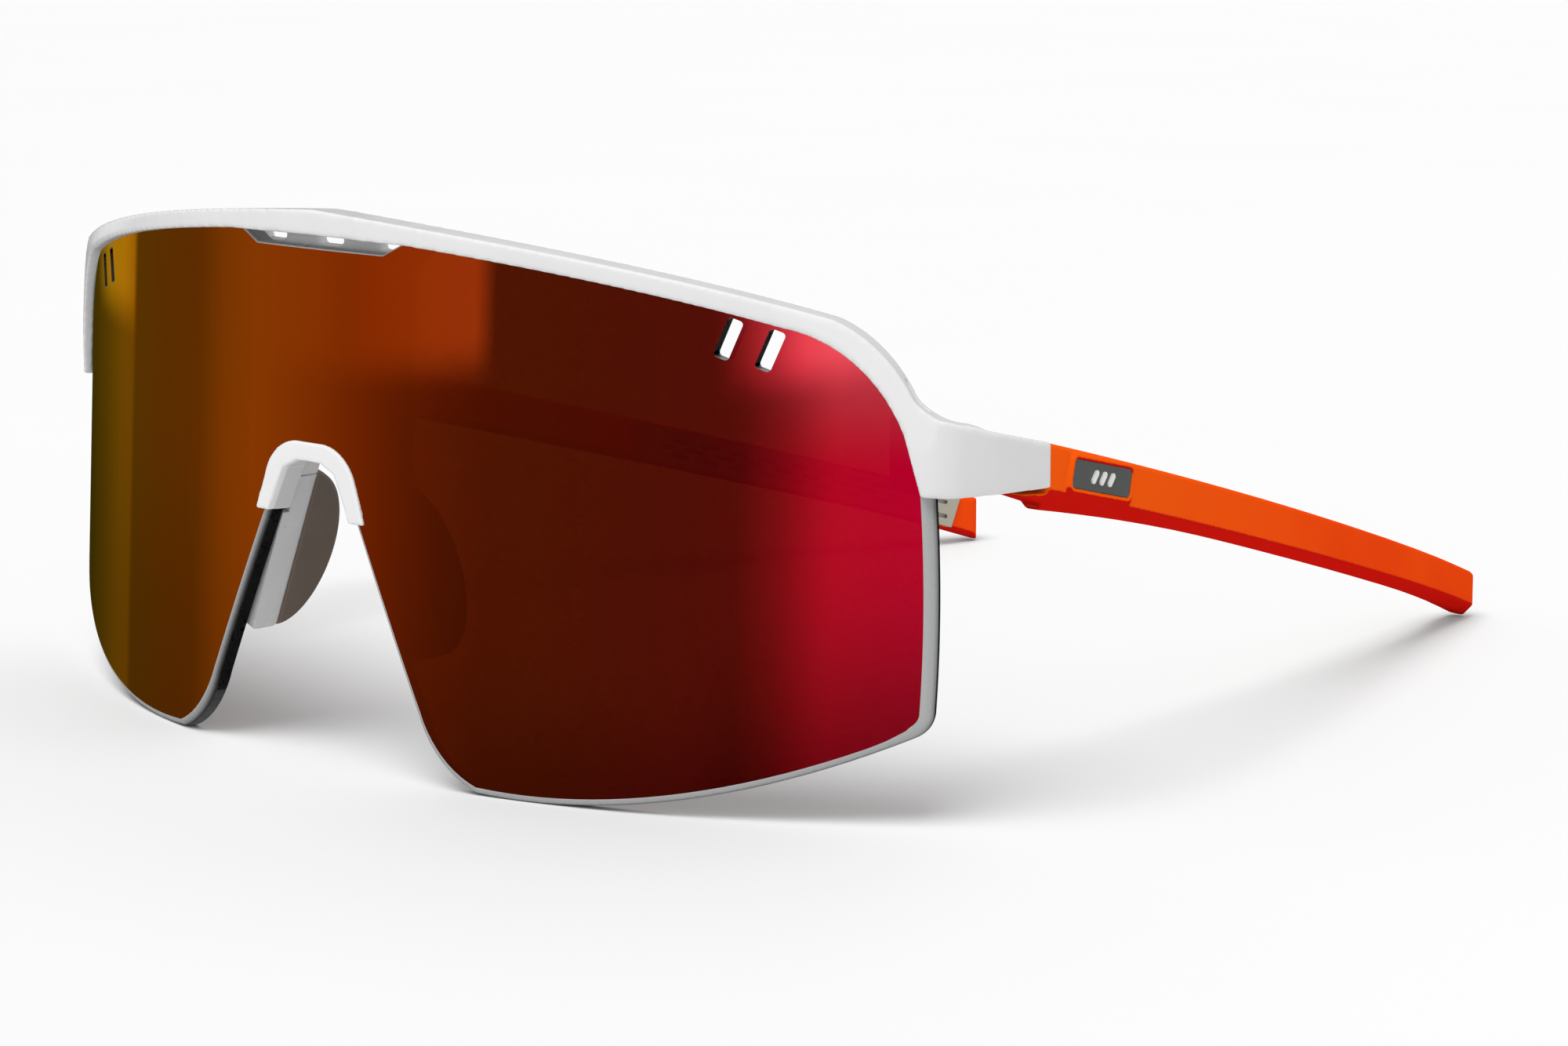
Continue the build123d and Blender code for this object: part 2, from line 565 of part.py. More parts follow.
# Temple: a bar lofted through its cross-sections, with the badge's frame outside, a shoulder that
# runs forward under the end piece, and pockets for the badge, grip, core and hinge leaf
TIP_Y = FRONT_Y + TEMPLE_STATIONS[-1]
NEAR_TIP_Y = FRONT_Y + TEMPLE_STATIONS[-3]
tip_inner = temple_line(TEMPLE_STATIONS[-1])[0] - TEMPLE_THICKNESS
near_inner = temple_line(TEMPLE_STATIONS[-3])[0] - TEMPLE_THICKNESS
near_top = temple_line(TEMPLE_STATIONS[-3])[1]
with BuildSketch(Plane.YZ) as tip_profile:
    with BuildLine():
        Polyline(
            (FRONT_Y, TOP_Z),
            (FRONT_Y, -1),
            (TIP_Y, -1),
            (TIP_Y, TIP_TOP + TIP_MARGIN[0]),
            (NEAR_TIP_Y, near_top + TIP_MARGIN[1]),
            (NEAR_TIP_Y, TOP_Z),
            close=True,
        )
    make_face()
    fillet(vertices().sort_by_distance((TIP_Y, TIP_TOP))[0], TIP_ROUND[0])
with BuildSketch() as tip_plan:
    with BuildLine():
        Polyline(
            (SIDE_X, FRONT_Y),
            (SIDE_X, TIP_Y),
            (tip_inner - TIP_SKIN[0], TIP_Y),
            (near_inner - TIP_SKIN[1], NEAR_TIP_Y),
            (0, NEAR_TIP_Y),
            (0, FRONT_Y),
            close=True,
        )
    make_face()
    fillet(vertices().sort_by_distance((tip_inner, TIP_Y))[0], TIP_ROUND[1])
with BuildPart() as temple:
    loft([temple_section(back) for back in TEMPLE_STATIONS])
    extrude(tip_profile.sketch, amount=SIDE_X, mode=Mode.INTERSECT)
    extrude(tip_plan.sketch, amount=TOP_Z, mode=Mode.INTERSECT)
    with BuildSketch(badge_face.offset(-FRAME_ROOT)):
        frame_size = [size + 2 * BADGE_RIM for size in BADGE_SIZE]
        RectangleRounded(*frame_size, BADGE_ROUND[1])
    extrude(amount=FRAME_ROOT + BADGE_PROUD)
    with BuildSketch(badge_top):
        RectangleRounded(*BADGE_SIZE, BADGE_ROUND[0])
    extrude(amount=BADGE_PROUD, mode=Mode.SUBTRACT)
    loft([shoulder_section(*end) for end in SHOULDER_ENDS])
    for pocket in (temple_badge, temple_grip, temple_core, hinge_leaf):
        add(pocket.part, mode=Mode.SUBTRACT)
write_pair(temple, "temple")
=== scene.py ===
import json
from math import atan2, cos, pi, radians, sin, sqrt, tan

import bpy
import numpy as np
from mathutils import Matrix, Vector
from mathutils.geometry import delaunay_2d_cdt

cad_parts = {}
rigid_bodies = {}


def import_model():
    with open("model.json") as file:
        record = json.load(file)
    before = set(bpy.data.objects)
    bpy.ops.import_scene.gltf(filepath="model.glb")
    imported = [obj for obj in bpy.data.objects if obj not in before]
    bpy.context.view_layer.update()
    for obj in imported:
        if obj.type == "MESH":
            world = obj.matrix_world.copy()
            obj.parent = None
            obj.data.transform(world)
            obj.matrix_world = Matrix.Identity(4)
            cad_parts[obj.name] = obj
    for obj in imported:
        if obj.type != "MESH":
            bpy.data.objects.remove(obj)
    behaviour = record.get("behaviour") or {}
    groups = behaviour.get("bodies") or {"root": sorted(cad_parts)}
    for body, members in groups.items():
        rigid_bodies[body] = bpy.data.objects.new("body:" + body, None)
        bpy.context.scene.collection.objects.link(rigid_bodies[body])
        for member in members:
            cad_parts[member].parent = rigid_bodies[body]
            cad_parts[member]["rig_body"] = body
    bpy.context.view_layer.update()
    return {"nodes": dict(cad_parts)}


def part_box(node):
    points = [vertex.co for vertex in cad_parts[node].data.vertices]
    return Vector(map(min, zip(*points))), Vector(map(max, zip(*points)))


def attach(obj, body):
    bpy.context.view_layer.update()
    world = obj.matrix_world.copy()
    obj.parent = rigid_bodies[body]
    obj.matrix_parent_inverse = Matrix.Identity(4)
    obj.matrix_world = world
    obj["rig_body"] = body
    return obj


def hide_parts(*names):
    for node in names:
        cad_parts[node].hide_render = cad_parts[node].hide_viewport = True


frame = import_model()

# Lengths are in millimetres and are turned into metres by MM where they meet Blender.
MM = 0.001

# The lens: a cylinder leaned back. Its front line meets Z = LENS_LIFT at Y = FRONT_Y, which stands
# this far in front of, and above, the low corner of the CAD lens's box.
LENS_RADIUS = 111.5
LENS_THICKNESS = 2.0
LENS_LEAN = radians(3.1)
lens_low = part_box("lens_shield")[0]
FRONT_Y = lens_low[1] / MM - 1.647
LENS_LIFT = lens_low[2] / MM + 0.4105

# Its outline and its vents on the flat face, X across and V up the lean
VENT_SIZE = (1.55, 4.25)
VENT_ROUND = 0.4
VENT_LEAN = 19.5
VENT_CENTRES = ((49.8, 49.3), (53.7, 48.4))
OUTLINE_GAP = 1.2

# Its rounded rim: the depth, the turns from the face to the wall, and the width at each part
BEVEL_DEPTH = 0.8
BEVEL_TURNS = [radians(a) for a in (0, 22, 45, 67, 90)]
RIM_SIDE = 1.25
RIM_NOTCH = 0.25
RIM_TOP = 0.7
RIM_NOSE = 0.6
RIM_FOOT = 0.75
RIM_ROUNDS = 3

# Points across the lens's face: their reach, their steps, and how far they keep from the edge
# and from the vents
GRID_ACROSS = (-68.0, 68.1)
GRID_UP = (2.0, 58.0)
GRID_STEP = (2.0, 4.0)
GRID_MARGIN = (1.2, 1.0)

# Material slots of the lens
FACE, RIM, SLOT, BACK = range(4)

# The camera looks at TARGET from a distance, turned from -Y towards +X and raised
TARGET = (0.0, -3.91, 17.07)
CAMERA_TURN = 43.57
CAMERA_RISE = 9.64
CAMERA_DISTANCE = 514.3
CAMERA_LENS = 99.10
SENSOR_WIDTH = 36.0

FLOOR_HALF = 30.0                # metres

scene = bpy.context.scene
nodes = frame["nodes"]


# ---------------------------------------------------------------- shader helpers

class Shader:
    """A node tree with short calls to add and link its nodes."""

    def __init__(self, name, tree=None):
        self.material = None
        if tree is None:
            self.material = bpy.data.materials.new(name)
            self.material.use_nodes = True
            tree = self.material.node_tree
        self.tree = tree
        tree.nodes.clear()

    def add(self, kind, inputs=(), **settings):
        node = self.tree.nodes.new(kind)
        for key, value in settings.items():
            setattr(node, key, value)
        for key, value in dict(inputs).items():
            self.put(node.inputs[key], value)
        return node

    def put(self, socket, value):
        if isinstance(value, bpy.types.NodeSocket):
            self.tree.links.new(value, socket)
        elif isinstance(value, bpy.types.Node):
            self.tree.links.new(value.outputs[0], socket)
        else:
            socket.default_value = value

    def math(self, operation, a, b=0.0, clamp=False):
        return self.add("ShaderNodeMath", {0: a, 1: b}, operation=operation, use_clamp=clamp)

    def mapped(self, value, low, high, start=0.0, end=1.0, smooth=True):
        kind = "SMOOTHSTEP" if smooth else "LINEAR"
        return self.add(
            "ShaderNodeMapRange",
            {"Value": value, "From Min": low, "From Max": high, "To Min": start, "To Max": end},
            interpolation_type=kind,
        )

    def ramp(self, value, stops):
        node = self.add("ShaderNodeValToRGB", {"Fac": value})
        band = node.color_ramp
        while len(band.elements) < len(stops):
            band.elements.new(0.5)
        for element, (place, colour) in zip(band.elements, stops):
            element.position = place
            element.color = (*colour, 1.0) if isinstance(colour, tuple) else (colour,) * 3 + (1.0,)
        return node

    def mix(self, factor, a, b, blend="MIX"):
        node = self.add("ShaderNodeMix", data_type="RGBA", blend_type=blend)
        self.put(node.inputs[0], factor)
        for socket, value in ((node.inputs[6], a), (node.inputs[7], b)):
            self.put(socket, (*value, 1.0) if isinstance(value, tuple) and len(value) == 3 else value)
        return node.outputs[2]

    def place(self):
        return self.add("ShaderNodeTexCoord").outputs["Object"]

    def parts(self, vector):
        """The X, Y and Z of a vector."""
        return self.add("ShaderNodeSeparateXYZ", {0: vector}).outputs

    def noise(self, scale, detail=3.0, stretch=(1, 1, 1)):
        at = self.add("ShaderNodeVectorMath", {0: self.place(), 1: stretch}, operation="MULTIPLY")
        return self.add("ShaderNodeTexNoise", {"Vector": at, "Scale": scale, "Detail": detail})

    def bump(self, height, strength, distance, normal=None):
        inputs = {"Height": height, "Strength": strength, "Distance": distance * MM}
        if normal is not None:
            inputs["Normal"] = normal
        return self.add("ShaderNodeBump", inputs)

    def finish(self, surface, kind="ShaderNodeOutputMaterial"):
        self.add(kind, {"Surface": surface})
        return self.material


def moulded(name, light, dark, rough, grain=0.012, coat=0.0, round_edge=0.0, extra=None, shine=None):
    """Moulded plastic or rubber: slow colour variation, uneven gloss and a fine surface grain.

    With shine given, that share of the surface is glossy and the rest is matt.
    """
    s = Shader(name)
    slow = s.noise(55, 2.0).outputs[0]
    colour = s.mix(s.mapped(slow, 0.3, 0.7), dark, light)
    if extra:
        colour = extra(s, colour)
    fine = s.noise(1400, 2.0).outputs[0]
    normal = s.bump(fine, 0.35, grain)
    if round_edge:
        s.put(normal.inputs["Normal"], s.add("ShaderNodeBevel", {"Radius": round_edge * MM}, samples=4))
    gloss = s.mapped(s.noise(240, 2.0).outputs[0], 0.3, 0.7, rough * 0.85, rough * 1.2)
    if shine is not None:
        matt = s.add("ShaderNodeBsdfDiffuse", {"Color": colour, "Normal": normal})
        sheen = s.add("ShaderNodeBsdfAnisotropic", {"Roughness": gloss, "Normal": normal})
        return s.finish(s.add("ShaderNodeMixShader", {0: shine, 1: matt, 2: sheen}))
    surface = s.add(
        "ShaderNodeBsdfPrincipled",
        {
            "Base Color": colour,
            "Roughness": gloss,
            "Normal": normal,
            "Coat Weight": coat,
            "Coat Roughness": 0.08,
        },
    )
    return s.finish(surface)


def brushed(name, colour, rough, stretch):
    """Machined steel with fine lines."""
    s = Shader(name)
    lines = s.noise(900, 4.0, stretch).outputs[0]
    tone = s.mix(s.mapped(lines, 0.35, 0.65), tuple(c * 0.8 for c in colour), colour)
    surface = s.add(
        "ShaderNodeBsdfPrincipled",
        {
            "Base Color": tone,
            "Metallic": 1.0,
            "Roughness": s.mapped(lines, 0.3, 0.7, rough * 0.8, rough * 1.3),
            "Normal": s.bump(lines, 0.4, 0.01),
        },
    )
    return s.finish(surface)


def temple_shade_tone(s, colour):
    """Painted shade as deeper red on the leaning lower face, a little yellower in front, and dull in
    bounced light.
    """
    down = s.parts(s.add("ShaderNodeTexCoord").outputs["Normal"])["Z"]
    # Painted shade: faces turned downwards get a deeper, darker red.
    under = s.mapped(down, -0.22, -0.02, 1.0, 0.0)
    along = s.parts(s.place())["Y"]
    front = s.mapped(along, -0.035, 0.04, 1.0, 0.0)
    colour = s.mix(front, colour, (1.0, 0.11, 0.002))
    colour = s.mix(under, colour, (0.6, 0.004, 0.0005))
    bounced = s.add("ShaderNodeLightPath").outputs["Is Diffuse Ray"]
    return s.mix(bounced, colour, (0.45, 0.42, 0.4))


def pad_tone(s, colour):
    """Rubber a shade lighter where it is thin at its rim."""
    edge = s.add("ShaderNodeNewGeometry").outputs["Pointiness"]
    return s.mix(s.mapped(edge, 0.5, 0.6), colour, (0.2, 0.155, 0.125))


def clip_shade(s, colour):
    """White at the front, with painted shade from a little way behind it, where the arms carry on:
    light grey there.
    """
    east, north, rise = s.parts(s.place())
    curve = s.math("DIVIDE", s.math("MULTIPLY", east, east), 2 * LENS_RADIUS * MM)
    lean = s.math("MULTIPLY", rise, tan(LENS_LEAN))
    behind = s.math("SUBTRACT", s.math("SUBTRACT", north, lean), curve)
    # Painted shade: the white turns light grey a little way behind the front.
    deep = s.mapped(behind, (FRONT_Y + 0.1) * MM, (FRONT_Y + 0.5) * MM)
    return s.mix(deep, colour, (0.62, 0.62, 0.62))


white = moulded("frame_white", (0.83, 0.83, 0.83), (0.79, 0.79, 0.795), 0.2, 0.006, 0.25)
bridge_white = moulded(
    "bridge_white", (0.9, 0.9, 0.9), (0.87, 0.87, 0.87), 0.16, 0.004, 0.3, extra=clip_shade
)
# Painted shade: the nose arms are white plastic, given a light grey for the shade they sit in.
grey = moulded("nose_grey", (0.62, 0.62, 0.62), (0.58, 0.58, 0.585), 0.3, 0.01, 0.0, 0.25)
orange = moulded(
    "temple_orange", (1.0, 0.075, 0.0015), (0.95, 0.062, 0.001), 0.5, 0.01,
    extra=temple_shade_tone, shine=0.006,
)
taupe = moulded(
    "pad_rubber", (0.15, 0.113, 0.088), (0.125, 0.094, 0.073), 0.62, 0.03, extra=pad_tone
)
grip = moulded("grip_rubber", (0.47, 0.44, 0.36), (0.42, 0.39, 0.32), 0.6, 0.03, 0.0, 0.12)
plate = moulded("badge_plate", (0.082, 0.09, 0.084), (0.07, 0.077, 0.072), 0.34, 0.01, 0.1, 0.15)
mark = moulded("badge_mark", (0.9, 0.9, 0.89), (0.84, 0.84, 0.83), 0.3, 0.002)
steel = brushed("hinge_steel", (0.6, 0.6, 0.58), 0.28, (1, 1, 8))
screw = brushed("screw_steel", (0.86, 0.86, 0.86), 0.4, (1, 6, 1))
core = brushed("core_steel", (0.55, 0.55, 0.54), 0.35, (6, 1, 1))


# ---------------------------------------------------------------- lens shaders

def lens_mirror():
    """Mirror coat over dark see-through glass, dull in bounced light so that the floor stays neutral.

    Its tint runs from olive through orange to crimson, and pinker in the upper outer corner as a
    painted highlight.
    """
    s = Shader("lens_mirror")
    place = s.parts(s.place())
    across, rise = place["X"], place["Z"]
    tint = s.ramp(
        s.mapped(across, -0.07, 0.07, smooth=False),
        [
            (0.02, (0.80, 0.55, 0.012)),
            (0.16, (0.90, 0.40, 0.006)),
            (0.29, (0.95, 0.25, 0.003)),
            (0.43, (0.98, 0.165, 0.003)),
            (0.57, (0.95, 0.100, 0.003)),
            (0.72, (0.85, 0.085, 0.012)),
            (0.84, (0.85, 0.030, 0.028)),
            (0.90, (0.92, 0.005, 0.030)),
            (0.97, (0.95, 0.001, 0.048)),
        ],
    ).outputs[0]
    # Painted highlight: the tint turns pinker in the upper outer corner.
    corner = s.math("MULTIPLY", s.mapped(rise, 0.036, 0.05), s.mapped(across, 0.048, 0.062))
    tint = s.mix(s.math("MULTIPLY", corner, 0.7), tint, (1.0, 0.13, 0.17))
    cloudy = s.noise(30, 2.0, (1.0, 1.0, 0.25)).outputs[0]
    tint = s.mix(s.mapped(cloudy, 0.25, 0.75, 0.0, 0.12), tint, (0.5, 0.05, 0.0), "MULTIPLY")
    ripple = s.bump(s.noise(26, 1.0).outputs[0], 0.05, 0.05)
    mirror = s.add(
        "ShaderNodeBsdfAnisotropic",
        {"Color": tint, "Roughness": s.mapped(cloudy, 0.2, 0.8, 0.02, 0.035), "Normal": ripple},
    )
    glass = s.add("ShaderNodeBsdfTransparent", {"Color": (0.16, 0.034, 0.008, 1.0)})
    surface = s.add("ShaderNodeMixShader", {0: 0.62, 1: glass, 2: mirror})
    bounced = s.add("ShaderNodeLightPath").outputs["Is Diffuse Ray"]
    dull = s.add("ShaderNodeBsdfDiffuse", {"Color": (0.08, 0.08, 0.08, 1.0)})
    return s.finish(s.add("ShaderNodeMixShader", {0: bounced, 1: surface, 2: dull}))


def lens_back():
    """Inner side of the lens: smoky brown, glossy."""
    s = Shader("lens_back")
    cloudy = s.noise(30, 2.0).outputs[0]
    colour = s.mix(cloudy, (0.42, 0.24, 0.15), (0.46, 0.27, 0.17))
    glass = s.add("ShaderNodeBsdfTransparent", {"Color": colour})
    gloss = s.add("ShaderNodeBsdfAnisotropic", {"Color": (0.5, 0.42, 0.38, 1.0), "Roughness": 0.05})
    facing = s.add("ShaderNodeFresnel", {"IOR": 1.5})
    surface = s.add("ShaderNodeMixShader", {0: facing, 1: glass, 2: gloss})
    return s.finish(surface)


def lens_edge(name, front, side, rough):
    """Cut polycarbonate with painted light and shade: pale where it faces forward, dark where it faces
    along the lens.
    """
    s = Shader(name)
    east, north, rise = s.parts(s.add("ShaderNodeTexCoord").outputs["Normal"])
    share = s.math("DIVIDE", s.parts(s.place())["X"], LENS_RADIUS * MM)
    ahead = s.math("SQRT", s.math("SUBTRACT", 1.0, s.math("MULTIPLY", share, share)))
    raised = s.math("MULTIPLY", rise, sin(LENS_LEAN))
    level = s.math("SUBTRACT", raised, s.math("MULTIPLY", north, cos(LENS_LEAN)))
    facing = s.math("ADD", s.math("MULTIPLY", east, share), s.math("MULTIPLY", level, ahead))
    fine = s.noise(700, 2.0).outputs[0]
    # Painted light and shade: pale where the rim faces forward, dark where it faces along the lens.
    colour = s.mix(s.mapped(facing, 0.1, 0.85), side, front)
    surface = s.add(
        "ShaderNodeBsdfPrincipled",
        {
            "Base Color": colour,
            "Roughness": s.mapped(fine, 0.3, 0.7, rough * 0.85, rough * 1.2),
            "Specular IOR Level": 0.3,
        },
    )
    return s.finish(surface)


# ---------------------------------------------------------------- lens mesh

def arc(start, middle, end, steps=24):
    """Points on the circle through three points, the first left out."""
    a, b, c = (np.array(p, float) for p in (start, middle, end))
    rows = np.array([2 * (b - a), 2 * (c - a)])
    centre = np.linalg.solve(rows, np.array([b @ b - a @ a, c @ c - a @ a]))
    turns = [atan2(*(p - centre)[::-1]) for p in (a, b, c)]
    sweep = (turns[2] - turns[0] + pi) % (2 * pi) - pi
    radius = np.linalg.norm(a - centre)
    angles = [turns[0] + sweep * k / steps for k in range(1, steps + 1)]
    return [centre + radius * np.array([cos(a), sin(a)]) for a in angles]


def rounded(points, corner, radius, steps=10):
    """The open line with one corner rounded to a radius."""
    line = [np.array(p, float) for p in points]
    at = min(range(len(line)), key=lambda i: np.linalg.norm(line[i] - np.array(corner)))
    before, tip, after = line[at - 1], line[at], line[at + 1]
    one = (before - tip) / np.linalg.norm(before - tip)
    two = (after - tip) / np.linalg.norm(after - tip)
    half = np.arccos(np.clip(one @ two, -1, 1)) / 2
    back = radius / tan(half)
    head = [p for p in line[:at] if np.linalg.norm(p - tip) > back]
    tail = [p for p in line[at + 1:] if np.linalg.norm(p - tip) > back]
    middle = tip + (one + two) / np.linalg.norm(one + two) * (radius / sin(half) - radius)
    start, end = tip + one * back, tip + two * back
    return head + [start] + arc(start, middle, end, steps) + tail


def lens_outline():
    """Closed outline of the lens on its face, in millimetres, anticlockwise."""
    line = [(0, 33.3), (3.0, 33.3), (5.2, 31.0), (7.1, 26.3), (16.4, 7.4)]
    line += arc((16.4, 7.4), (18.9, 3.35), (24.2, -0.1), 10)
    line += arc((24.2, -0.1), (49.0, 2.5), (68.8, 11.0))
    line += arc((68.8, 11.0), (68.8, 24.0), (68.0, 37.0))
    line += arc((68.0, 37.0), (64.4, 45.9), (57.0, 51.3))
    line += arc((57.0, 51.3), (37.0, 55.2), (14.4, 57.27))
    line += [(10.15, 55.17), (0, 55.17)]
    line = rounded(line, (68.8, 11.0), 3.0)
    line = rounded(line, (5.2, 31.0), 1.6, 5)
    line = rounded(line, (10.15, 55.17), 0.8, 5)
    right = [np.array(p, float) for p in line]
    left = [np.array([-p[0], p[1]]) for p in right[-2:0:-1]]
    return right + left


def evenly(loop, gap):
    """The closed loop with points added so that no run is longer than gap."""
    out = []
    for a, b in zip(loop, loop[1:] + loop[:1]):
        count = max(1, int(np.ceil(np.linalg.norm(b - a) / gap)))
        out += [a + (b - a) * k / count for k in range(count)]
    return out


def outward(loop):
    """Unit normals of an anticlockwise loop."""
    ring = np.array(loop)
    step = np.roll(ring, -1, 0) - np.roll(ring, 1, 0)
    step /= np.linalg.norm(step, axis=1)[:, None]
    return np.stack([step[:, 1], -step[:, 0]], 1)


def bevel_widths(loop):
    """Width of the rounded rim at each point: narrow in the notch, wide at the outer sides."""
    plain = []
    for x, v in loop:
        if abs(x) > 66.5:
            plain.append(RIM_SIDE)
        elif v > 54 and abs(x) < 15:
            plain.append(RIM_NOTCH)
        elif v > 40:
            plain.append(RIM_TOP)
        elif abs(x) < 17:
            plain.append(RIM_NOSE)
        else:
            plain.append(RIM_FOOT)
    even = np.array(plain)
    for _ in range(RIM_ROUNDS):
        even = (np.roll(even, 1) + even + np.roll(even, -1)) / 3
    return even


def vent(side, across, up):
    """Outline of one slanted vent slot."""
    wide, tall = VENT_SIZE
    turn = radians(-side * VENT_LEAN)
    centre = np.array([side * across, up])
    points = []
    for sx, sy, first in ((1, 1, 0), (-1, 1, 90), (-1, -1, 180), (1, -1, 270)):
        for k in range(5):
            angle = radians(first + 22.5 * k)
            x = sx * (wide / 2 - VENT_ROUND) + VENT_ROUND * cos(angle)
            y = sy * (tall / 2 - VENT_ROUND) + VENT_ROUND * sin(angle)
            points.append(centre + [x * cos(turn) - y * sin(turn), x * sin(turn) + y * cos(turn)])
    return points


def inside(point, loop):
    """Whether the point is inside the closed loop."""
    x, y = point
    hit = False
    for (ax, ay), (bx, by) in zip(loop, loop[1:] + loop[:1]):
        if (ay > y) != (by > y) and x < (bx - ax) * (y - ay) / (by - ay) + ax:
            hit = not hit
    return hit


def sheet(boundary, holes):
    """Triangles between the boundary and its holes, with rows of points across the face."""
    edge = np.array(boundary)
    grid = []
    for x in np.arange(*GRID_ACROSS, GRID_STEP[0]):
        for y in np.arange(*GRID_UP, GRID_STEP[1]):
            point = np.array([x, y])
            near = np.min(np.linalg.norm(edge - point, axis=1))
            away = min(np.linalg.norm(np.array(h) - point, axis=1).min() for h in holes)
            if near > GRID_MARGIN[0] and away > GRID_MARGIN[1] and inside(point, boundary):
                grid.append(point)
    points = list(boundary)
    links = [(k, (k + 1) % len(boundary)) for k in range(len(boundary))]
    for hole in holes:
        first = len(points)
        points += hole
        links += [(first + k, first + (k + 1) % len(hole)) for k in range(len(hole))]
    points += grid
    found = delaunay_2d_cdt([Vector(p) for p in points], links, [], 1, 1e-5)
    verts, faces, origin = found[0], found[2], found[3]
    kept = []
    for face in faces:
        centre = sum((verts[i] for i in face), Vector((0, 0))) / len(face)
        if inside(centre, boundary) and not any(inside(centre, h) for h in holes):
            kept.append([origin[i][0] for i in face])
    return points, kept


def lens_point(point, depth):
    """A place in the lens, that deep under a point of its front face, in the row frame."""
    x, v = point[0] * (1 - depth / LENS_RADIUS), point[1]
    dip = LENS_RADIUS - sqrt((LENS_RADIUS - depth) ** 2 - x * x)
    c, s = cos(LENS_LEAN), sin(LENS_LEAN)
    return Vector((x, FRONT_Y + v * s + dip * c, LENS_LIFT + v * c - dip * s)) * MM


def lens_normal(x):
    """Outward normal of the front face."""
    turn = np.arcsin(x / LENS_RADIUS)
    c, s = cos(LENS_LEAN), sin(LENS_LEAN)
    return Vector((sin(turn), -cos(turn) * c, cos(turn) * s))


def face_direction(point, flat):
    """A direction on the lens's face at a point, in the row frame."""
    ahead = lens_normal(point[0])
    up = Vector((0, sin(LENS_LEAN), cos(LENS_LEAN)))
    return (up.cross(ahead) * -flat[0] + up * flat[1]).normalized()


class LensMesh:
    """Vertices, faces, material slots and corner normals of the lens."""

    def __init__(self):
        self.verts, self.faces, self.kinds, self.normals = [], [], [], []

    def add_points(self, points):
        """Add vertices and give their numbers."""
        first = len(self.verts)
        self.verts += points
        return list(range(first, len(self.verts)))

    def add_face(self, corners, normals, kind):
        self.faces.append(corners)
        self.normals += normals
        self.kinds.append(kind)

    def add_band(self, one, two, up, down, kind):
        """Quads between two closed rings of vertices, each with its own normals."""
        for k in range(len(one)):
            j = (k + 1) % len(one)
            self.add_face([one[k], two[k], two[j], one[j]], [up[k], down[k], down[j], up[j]], kind)


def rim_normals(turned, outline, widths, sides):
    """Normals of the rounded rim at one turn between the face and the wall."""
    return [
        (side * BEVEL_DEPTH * sin(turned) + lens_normal(p[0]) * w * cos(turned)).normalized()
        for p, w, side in zip(outline, widths, sides)
    ]


def lens_shape():
    """The front and back faces, the rounded rim with its wall, and the walls of the vents."""
    shape = LensMesh()
    outline = evenly(lens_outline(), OUTLINE_GAP)
    flat = outward(outline)
    widths = bevel_widths(outline)
    inner = [p - n * w for p, n, w in zip(outline, flat, widths)]
    slots = [vent(side, *place) for side in (1, -1) for place in VENT_CENTRES]

    points, triangles = sheet(inner, slots)
    front = shape.add_points([lens_point(p, 0.0) for p in points])
    normals = [lens_normal(p[0]) for p in points]
    for face in triangles:
        shape.add_face([front[i] for i in face], [normals[i] for i in face], FACE)
    points, triangles = sheet(outline, slots)
    back = shape.add_points([lens_point(p, LENS_THICKNESS) for p in points])
    normals = [-lens_normal(p[0]) for p in points]
    for face in triangles:
        shape.add_face([back[i] for i in face[::-1]], [normals[i] for i in face[::-1]], BACK)

    count = len(outline)
    sides = [face_direction(p, n) for p, n in zip(outline, flat)]
    rings, ring_normals = [front[:count]], [rim_normals(BEVEL_TURNS[0], outline, widths, sides)]
    for turned in BEVEL_TURNS[1:]:
        places = [
            lens_point(p - n * w * (1 - sin(turned)), BEVEL_DEPTH * (1 - cos(turned)))
            for p, n, w in zip(outline, flat, widths)
        ]
        rings.append(shape.add_points(places))
        ring_normals.append(rim_normals(turned, outline, widths, sides))
    rings.append(back[:count])
    ring_normals.append(sides)
    for k in range(len(rings) - 1):
        shape.add_band(rings[k], rings[k + 1], ring_normals[k], ring_normals[k + 1], RIM)

    first = count
    for slot in slots:
        walls = [-face_direction(p, n) for p, n in zip(slot, outward(slot))]
        last = first + len(slot)
        shape.add_band(back[first:last], front[first:last], walls, walls, SLOT)
        first = last
    return shape


shape = lens_shape()
lens_mesh = bpy.data.meshes.new("lens_glass")
lens_mesh.from_pydata([tuple(v) for v in shape.verts], [], shape.faces)
for material in (
    lens_mirror(),
    # Painted light and shade on the rim and the vent walls: the first tone where they face forward, the
    # second where they face along the lens.
    lens_edge("lens_rim", (0.42, 0.425, 0.425), (0.07, 0.07, 0.068), 0.3),
    lens_edge("lens_slot", (0.4, 0.4, 0.4), (0.3, 0.3, 0.3), 0.3),
    lens_back(),
):
    lens_mesh.materials.append(material)
lens_mesh.polygons.foreach_set("material_index", shape.kinds)
lens_mesh.polygons.foreach_set("use_smooth", [True] * len(shape.faces))
lens_mesh.normals_split_custom_set([tuple(n) for n in shape.normals])
lens = bpy.data.objects.new("lens_glass", lens_mesh)
scene.collection.objects.link(lens)
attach(lens, "front")
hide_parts("lens_shield")


# ---------------------------------------------------------------- softened mouldings

